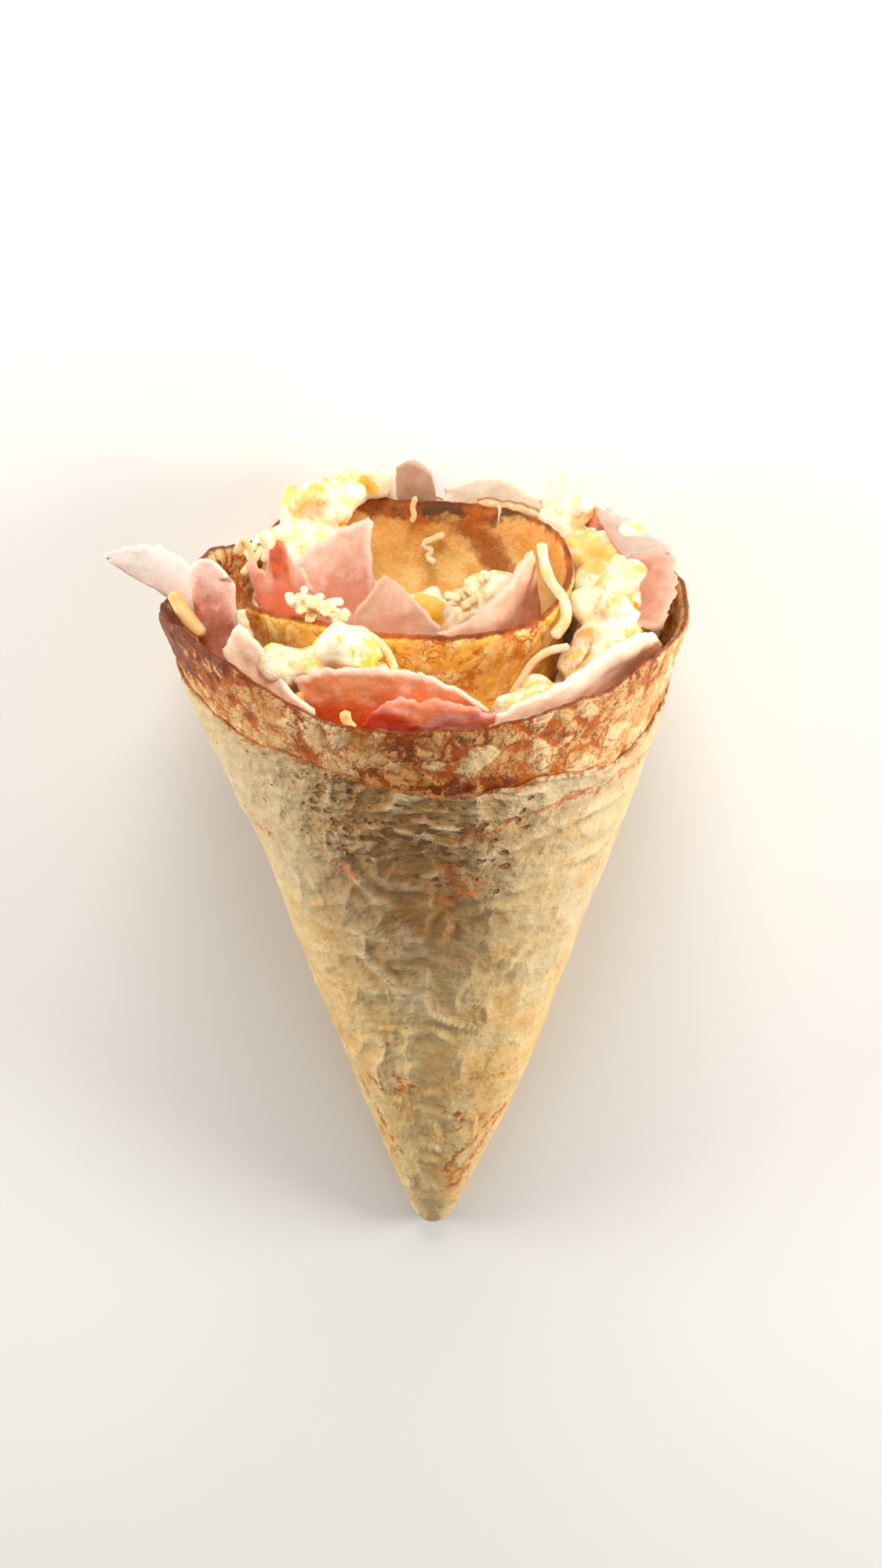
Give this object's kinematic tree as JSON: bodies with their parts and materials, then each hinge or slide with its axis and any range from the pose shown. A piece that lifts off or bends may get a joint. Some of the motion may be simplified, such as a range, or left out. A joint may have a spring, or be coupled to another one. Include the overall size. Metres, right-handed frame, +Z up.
{
  "type": "savory crepe",
  "caption": "Thin browned crepe rolled into a pointed cone, its mouth packed with scrambled egg, slices of ham and shreds of cheese, lying on its back.",
  "frame": {"origin": "middle of the underside on which the cone lies, halfway along its length and across its width", "axes": "+Y from the tip towards the mouth, along the ground; +X to the right as seen from above with the mouth at the top; +Z up, which is the side that shows"},
  "size_m": [0.1228, 0.1768, 0.1039],
  "materials": {
    "crepe": "soft and matt, with a browned lace band below the rim",
    "egg": "moist",
    "ham": "moist, smooth on the faces",
    "cheese": "soft, slightly waxy"
  },
  "bodies": {
    "root": {"crepe": "crepe", "egg": "egg", "ham_flag": "ham", "ham_fold": "ham", "ham_corner": "ham", "ham_front": "ham", "ham_lap": "ham", "ham_right_strip": "ham", "ham_right": "ham", "ham_pale": "ham", "ham_wedge": "ham", "ham_back": "ham", "ham_curl": "ham", "ham_inner_back": "ham", "ham_inner_front": "ham", "ham_crescent": "ham", "ham_red": "ham", "cheese_strand": "cheese", "cheese_ribbon": "cheese", "cheese_pile": "cheese", "cheese_zigzag": "cheese", "cheese_left": "cheese"}
  },
  "joints": []
}
